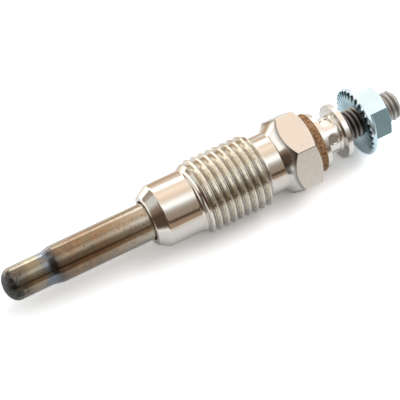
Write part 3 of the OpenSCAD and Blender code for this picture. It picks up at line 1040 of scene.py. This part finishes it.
class GLOWPLUG_OT_tube(bpy.types.Operator):
    """Draw the heater tube with its domed tip and swaged step"""

    bl_idname = "glow_plug.tube"
    bl_label = "Heater tube"

    def execute(self, context):
        size = context.scene.glow_plug_tube
        dome_rings = 16
        taper_rings = 12
        columns = 128
        edge = 0.06 * MM

        def wall(inset):
            radius = size.front_radius - inset
            tip = size.tip + inset
            dome = size.dome_length - inset / 2
            early = size.taper_length * 0.40
            late = size.taper_length * 0.15
            step = size.tip + size.front_length - early
            points = []
            for index in range(dome_rings + 1):
                swing = math.radians(90 * index / dome_rings)
                height = radius * math.sin(swing) if index else 0
                points.append((tip + dome * (1 - math.cos(swing)), height))
            for index in range(taper_rings + 1):
                share = index / taper_rings
                swell = share * share * (3 - 2 * share)
                x = step + (early + size.taper_length + late) * share
                points.append((x, radius + (size.radius - size.front_radius) * swell))
            points.append((size.rear, size.radius - inset))
            return points

        rings = ring_mesh("tube_rings", wall(0) + wall(size.wall)[::-1], columns)
        mesh = welded("drawn_tube", softened("tube_skin", rings, edge, limit=40))
        finish = tube_steel(size, context.scene.glow_plug_colours)
        add_piece("drawn_tube", mesh, "heater_tube", finish)
        return {"FINISHED"}


class GLOWPLUG_OT_stud(bpy.types.Operator):
    """Turn the terminal stud with its rod and wind its thread"""

    bl_idname = "glow_plug.stud"
    bl_label = "Terminal stud"

    def execute(self, context):
        size = context.scene.glow_plug_terminal
        spigot_end = stud_low.x + size.spigot_length
        rod_gap = 0.05 * MM
        rod_step = tube_high.x + rod_gap
        rod_end = washer_low.x
        thread_start = collar_high.x
        dome_start = stud_high.x - size.stud_dome
        end_radius = size.stud_radius - size.stud_chamfer
        pitch = size.stud_pitch
        fade_out = 0.05 * MM
        dome_rings = 6
        columns = 96
        front = [
            (stud_low.x, 0),
            (stud_low.x, size.spigot_radius),
            (spigot_end, size.spigot_radius),
            (spigot_end, size.rod_front_radius),
            (rod_step, size.rod_front_radius),
            (rod_step, size.rod_radius),
            (rod_end, size.rod_radius),
            (rod_end, size.stud_radius),
            (thread_start, size.stud_radius),
        ]
        curve = (end_radius**2 + size.stud_dome**2) / 2 / size.stud_dome
        sweep = math.asin(end_radius / curve)
        end = []
        for index in range(dome_rings + 1):
            swing = sweep * (1 - index / dome_rings)
            radius = curve * math.sin(swing) if index < dome_rings else 0
            end.append((stud_high.x - curve + curve * math.cos(swing), radius))
        thread = thread_mesh(
            columns,
            (size.stud_radius, pitch, thread_start + pitch),
            (thread_start, size.stud_radius, pitch, pitch),
            (dome_start, end_radius, size.stud_chamfer, fade_out),
            rows_per_pitch=14,
        )
        rod = softened("rod_skin", ring_mesh("rod_rings", braced(front), columns), size.edge)
        mesh = welded("threaded_stud", rod, ring_mesh("stud_end", end, columns), thread)
        finish = stud_steel(size, context.scene.glow_plug_colours)
        add_piece("threaded_stud", mesh, "terminal_stud", finish)
        return {"FINISHED"}


class GLOWPLUG_OT_washer(bpy.types.Operator):
    """Press the fibre washer with its rough rim"""

    bl_idname = "glow_plug.washer"
    bl_label = "Insulating washer"

    def execute(self, context):
        size = context.scene.glow_plug_terminal
        front = washer_low.x
        seat = body_high.x
        rear = washer_high.x
        rim = washer_high.z
        ease = 0.2 * MM
        spacing = 0.12 * MM
        rough_depth = 0.4 * MM
        worn, ragged = 0.035 * MM, 0.06 * MM
        columns = 240
        rings = [(front, size.washer_bore), (front, size.washer_spigot), (seat, size.washer_spigot)]
        flange = ((seat, size.washer_spigot, 0), (seat, rim, ease), (rear, rim, ease), (rear, 0, 0))
        rings += eased(flange)[1:-1]
        spaced = []
        for before, after in zip(rings, rings[1:]):
            count = max(1, round((Vector(after) - Vector(before)).length / spacing))
            spaced += [tuple(Vector(before).lerp(Vector(after), step / count)) for step in range(count)]
        spaced += [rings[-1], (rear, size.washer_bore)]
        mesh = welded("fibre_washer", ring_mesh("washer_rings", spaced, columns, closed=True))
        for vertex in mesh.vertices:
            radius = math.hypot(vertex.co.y, vertex.co.z)
            if radius > rim - rough_depth:
                strands = noise.fractal(vertex.co * STRANDS_PER_METRE, 1.0, 2.0, 3)
                vertex.co.yz *= 1 - (worn + ragged * abs(strands)) / radius
        finish = washer_fibre(context.scene.glow_plug_colours)
        add_piece("fibre_washer", mesh, "insulating_washer", finish)
        return {"FINISHED"}


class GLOWPLUG_OT_collar(bpy.types.Operator):
    """Turn the collar and press its crimp dimples"""

    bl_idname = "glow_plug.collar"
    bl_label = "Crimp collar"

    def execute(self, context):
        size = context.scene.glow_plug_terminal
        base = collar_low.x
        waist = base + size.base_length
        top = collar_high.x - size.top_length
        base_radius = collar_high.z
        edge = 0.12 * MM
        ease = size.collar_fillet
        waist_rings = 40
        columns = 360
        dimple_wall = 0.15 * MM
        rings = [(base, size.collar_bore), (base, base_radius - edge)]
        rings += eased(
            (
                (base, base_radius - edge, 0),
                (base, base_radius, edge * 0.9),
                (waist, base_radius, edge),
                (waist, size.waist_radius, ease),
                (top, size.waist_radius, ease),
                (top, size.top_radius, edge),
                (collar_high.x, size.top_radius, edge),
                (collar_high.x, size.collar_bore, 0),
            ),
            steps=6,
        )[1:]
        narrowest = min(radius for _, radius in rings[1:-1])
        start = next(index for index, ring in enumerate(rings) if ring[1] == narrowest)
        before, after = Vector(rings[start]), Vector(rings[start + 1])
        between = [tuple(before.lerp(after, step / waist_rings)) for step in range(1, waist_rings)]
        rings[start + 1 : start + 1] = between
        mesh = grow(
            dimple_tree(),
            ring_mesh("collar_rings", rings, columns, closed=True),
            {
                "Count": size.dimples,
                "Turn": size.dimple_turn,
                "Station": (waist + top) / 2,
                "Radius": size.dimple_radius,
                "Floor radius": size.waist_radius - size.dimple_depth,
                "Wall": dimple_wall,
            },
        )
        finish = collar_nickel(size, context.scene.glow_plug_colours)
        add_piece("crimped_collar", welded("crimped_collar", mesh), "crimp_collar", finish)
        return {"FINISHED"}


class GLOWPLUG_OT_nut(bpy.types.Operator):
    """Form the flange nut with its serrated underside"""

    bl_idname = "glow_plug.nut"
    bl_label = "Terminal nut"

    def execute(self, context):
        size = context.scene.glow_plug_terminal
        under = nut_low.x
        top = nut_high.x
        rim = nut_high.y
        mouth = size.stud_radius + size.nut_gap
        pitch = size.stud_pitch
        sink = 0.35 * MM
        brim_drop, brim_inset = 0.1 * MM, 0.12 * MM
        tooth_rings = 6
        columns = 360
        brim = under + size.nut_rim
        hex_foot = hex_ring(size.nut_half, brim, rim, -1 / math.tan(size.nut_slope), size.nut_turn)
        hex_top = hex_ring(size.nut_half, top, size.nut_face, -math.tan(CHAMFER_ANGLE), size.nut_turn)
        face = rim - size.nut_bevel
        reach = face - size.serration_inner
        teeth = [(under, size.serration_inner + reach * step / tooth_rings) for step in range(tooth_rings)]
        rings = [(under + size.nut_dish, mouth)] + teeth
        rings += [(under, face), (under + size.nut_bevel, rim), (under + size.nut_rim * 0.6, rim)]
        rings += [(brim - brim_drop, rim), (brim, rim - brim_inset)]
        rings += [hex_foot, hex_top, (top, size.nut_face), (top, mouth + sink), (top - sink, mouth)]
        skin = grow(
            serration_tree(),
            softened("nut_skin", ring_mesh("nut_rings", rings, columns), size.edge, limit=35),
            {
                "Count": size.serrations,
                "Turn": size.nut_turn,
                "Underside": under,
                "Inner radius": size.serration_inner,
                "Rim radius": rim,
                "Depth": size.serration_depth,
            },
        )
        thread = thread_mesh(
            columns,
            (mouth, pitch, collar_high.x + pitch),
            (under + size.nut_dish, mouth, pitch, pitch / 2),
            (top - sink, mouth, pitch, pitch / 2),
            rows_per_pitch=12,
        )
        finish = nut_zinc(size, context.scene.glow_plug_colours)
        add_piece("flange_nut", welded("flange_nut", skin, thread), "terminal_nut", finish)
        return {"FINISHED"}


class GLOWPLUG_OT_inside(bpy.types.Operator):
    """Give the coils, the powder and the seals inside the plug their finishes"""

    bl_idname = "glow_plug.inside"
    bl_label = "Inner pieces"

    def execute(self, context):
        colours = context.scene.glow_plug_colours
        rubber = seal_rubber(colours)
        finishes = {
            "heating_coil": drawn_wire("heating_wire", colours.heat_wire),
            "regulating_coil": drawn_wire("regulating_wire", colours.control_wire),
            "magnesia_fill": packed_powder(colours),
            "tube_seal": rubber,
            "body_seal": rubber,
        }
        for node, finish in finishes.items():
            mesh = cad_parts[node].data
            mesh.materials.clear()
            mesh.materials.append(finish)
        return {"FINISHED"}


class GLOWPLUG_OT_stage(bpy.types.Operator):
    """Set the floor, the soft box, the surroundings and the camera"""

    bl_idname = "glow_plug.stage"
    bl_label = "Stage"

    def execute(self, context):
        settings = context.scene.glow_plug_stage
        context.scene.view_settings.view_transform = "Standard"
        self.add_floor(settings)
        self.add_soft_box(settings)
        self.add_surroundings(context, settings)
        self.add_camera(context, settings)
        return {"FINISHED"}

    def add_floor(self, settings):
        """A pale floor that stays white where nothing shades it."""
        half = settings.floor_half
        corners = [(x * half, y * half, cad_box[0][2]) for x, y in ((-1, -1), (1, -1), (1, 1), (-1, 1))]
        mesh = bpy.data.meshes.new("floor")
        mesh.from_pydata(corners, [], [(0, 1, 2, 3)])
        material, graph, place = start_finish("floor_white")
        path = graph.node("ShaderNodeLightPath", output="Is Camera Ray")
        glossy = path.other("Is Glossy Ray")
        seen = path.math("MAXIMUM", path.other("Is Transmission Ray"))
        white = settings.floor_white + seen * settings.floor_lift + glossy * settings.mirror_lift
        dull = graph.node("ShaderNodeBsdfDiffuse", None, {"Color": graph.vector(white, white, white)})
        x = graph.axes(place)
        share = (x - FLOOR_FAR_START) / FLOOR_FAR_WIDTH
        tone = graph.node("ShaderNodeValToRGB", {"stops": FLOOR_FAR}, {"Fac": share})
        y = x.other("Y")
        front = (0 - y).between(30 * MM, 80 * MM)
        tone = graph.blend(front, tone, settings.floor_front)
        # Painted light: metal sees the floor behind and in front as a glow of set tones
        far = graph.node("ShaderNodeEmission", None, {"Color": tone})
        behind = y.between(10 * MM, 26 * MM).math("MAXIMUM", front) * glossy
        surface = graph.node("ShaderNodeMixShader", None, {0: behind, 1: dull, 2: far})
        graph.node("ShaderNodeOutputMaterial", None, {"Surface": surface})
        mesh.materials.append(material)
        floor = put("floor", mesh)

    def add_soft_box(self, settings):
        """One large soft box behind and above the plug."""
        towards = Vector(settings.key_towards).normalized()
        lamp = bpy.data.lights.new("soft_box", "AREA")
        lamp.shape = "SQUARE"
        lamp.size = settings.key_size
        lamp.energy = settings.key_level * math.pi**2 * settings.key_distance**2 / towards.z
        soft_box = put("soft_box", lamp)
        soft_box.location = towards * settings.key_distance
        soft_box.rotation_euler = towards.to_track_quat("Z", "Y").to_euler()
        soft_box.visible_glossy = False

    def add_surroundings(self, context, settings):
        """White to the camera, even to dull surfaces, and a banded studio to metal."""
        world = bpy.data.worlds.new("studio")
        context.scene.world = world
        world.use_nodes = True
        world.node_tree.nodes.clear()
        graph = Graph(world.node_tree)
        x = graph.axes(graph.node("ShaderNodeTexCoord", output="Generated"))
        lift = graph.math("ARCTAN2", x.other("Z"), 0 - x.other("Y")) * (180 / math.pi)
        leftward = 0 - x
        level_at = 0.22
        slant = ((x - level_at) * math.degrees(settings.slant)).limited(-8, 20)
        middle = self.bands(graph, STUDIO_MIDDLE, lift + slant)
        left = self.bands(graph, STUDIO_LEFT, lift)
        low_window = leftward.between(0.74, 0.84) * lift.between(96, 112)
        high_window = leftward.between(0.54, 0.68) * lift.between(140, 150)
        left = graph.blend(low_window.math("MAXIMUM", high_window), left, (0.95, 0.94, 0.92))
        seen = graph.blend(leftward.between(0.04, 0.32), middle, left)
        steep = x.between(0.46, 0.56) * lift.until(40, 62)
        seen = graph.blend(x.between(0.32, 0.37) * (1 - steep), seen, self.bands(graph, STUDIO_RIGHT, lift))
        glint = x.span(0.02, 0.08, 0.11, 0.15) * lift.between(156, 162)
        seen = graph.blend(glint, seen, (3.4, 3.3, 3.1))
        lit = {"Vector": seen, "Scale": settings.studio}
        bright = graph.node("ShaderNodeVectorMath", {"operation": "SCALE"}, lit)
        # Dull surfaces get most light from above and behind, and a little more from the right
        far = lift.between(48, 82)
        even = (0.36 + far * 0.64) * (1 + x * 0.5) + x.between(0.1, 0.8) * (1 - far) * 0.15
        even = even * settings.ambient
        path = graph.node("ShaderNodeLightPath", output="Is Glossy Ray")
        tone = graph.blend(path, graph.vector(even, even, even), bright)
        to_camera = path.other("Is Camera Ray").math("MAXIMUM", path.other("Is Transmission Ray"))
        tone = graph.blend(to_camera, tone, (1, 1, 1))
        light = graph.node("ShaderNodeBackground", None, {"Color": tone})
        graph.node("ShaderNodeOutputWorld", None, {"Surface": light})

    @staticmethod
    def bands(graph, stops, lift):
        """Tones of one part of the studio by the angle over the plug."""
        shares = [(degrees / 180, tone) for degrees, tone in stops]
        return graph.node("ShaderNodeValToRGB", {"stops": shares}, {"Fac": lift / 180})

    def add_camera(self, context, settings):
        """A camera that looks at the plug from above its front and its tip."""
        around, above = settings.azimuth, settings.elevation
        level, up = math.cos(above), math.sin(above)
        back = Vector((math.sin(around) * level, -math.cos(around) * level, up))
        lens = bpy.data.cameras.new("camera")
        lens.angle = settings.field_of_view
        lens.clip_start = 0.01
        camera = put("camera", lens)
        camera.location = Vector(settings.target) + back * settings.distance
        turn = back.to_track_quat("Z", "Y").to_matrix() @ Matrix.Rotation(settings.roll, 3, "Z")
        camera.rotation_euler = turn.to_euler()
        context.scene.camera = camera


class GLOWPLUG_PT_build(bpy.types.Panel):
    """Lists the sizes, the colours and the steps of the build"""

    bl_idname = "GLOWPLUG_PT_build"
    bl_label = "Glow plug"
    bl_space_type = "VIEW_3D"
    bl_region_type = "UI"
    bl_category = "Glow plug"

    def draw(self, context):
        for step in STEPS:
            self.layout.operator(step.bl_idname)
        for name in GROUPS:
            group = getattr(context.scene, name)
            box = self.layout.box()
            for item in group.bl_rna.properties:
                if item.identifier not in {"rna_type", "name"}:
                    box.prop(group, item.identifier)


GROUPS = {
    "glow_plug_body": GlowPlugBodySizes,
    "glow_plug_tube": GlowPlugTubeSizes,
    "glow_plug_terminal": GlowPlugTerminalSizes,
    "glow_plug_colours": GlowPlugColours,
    "glow_plug_stage": GlowPlugStageSettings,
}
STEPS = (
    GLOWPLUG_OT_stage,
    GLOWPLUG_OT_body,
    GLOWPLUG_OT_tube,
    GLOWPLUG_OT_stud,
    GLOWPLUG_OT_washer,
    GLOWPLUG_OT_collar,
    GLOWPLUG_OT_nut,
    GLOWPLUG_OT_inside,
)
CLASSES = (*GROUPS.values(), *STEPS, GLOWPLUG_PT_build)


def register():
    """Registers the classes and hangs the property groups on the scene."""
    for item in CLASSES:
        bpy.utils.register_class(item)
    for name, group in GROUPS.items():
        setattr(bpy.types.Scene, name, PointerProperty(type=group))


def unregister():
    """Takes the property groups and the classes away again."""
    for name in GROUPS:
        delattr(bpy.types.Scene, name)
    for item in reversed(CLASSES):
        bpy.utils.unregister_class(item)


def main():
    """Builds every piece and the stage."""
    register()
    bpy.ops.glow_plug.stage()
    bpy.ops.glow_plug.body()
    bpy.ops.glow_plug.tube()
    bpy.ops.glow_plug.stud()
    bpy.ops.glow_plug.washer()
    bpy.ops.glow_plug.collar()
    bpy.ops.glow_plug.nut()
    bpy.ops.glow_plug.inside()


if __name__ == "__main__":
    main()
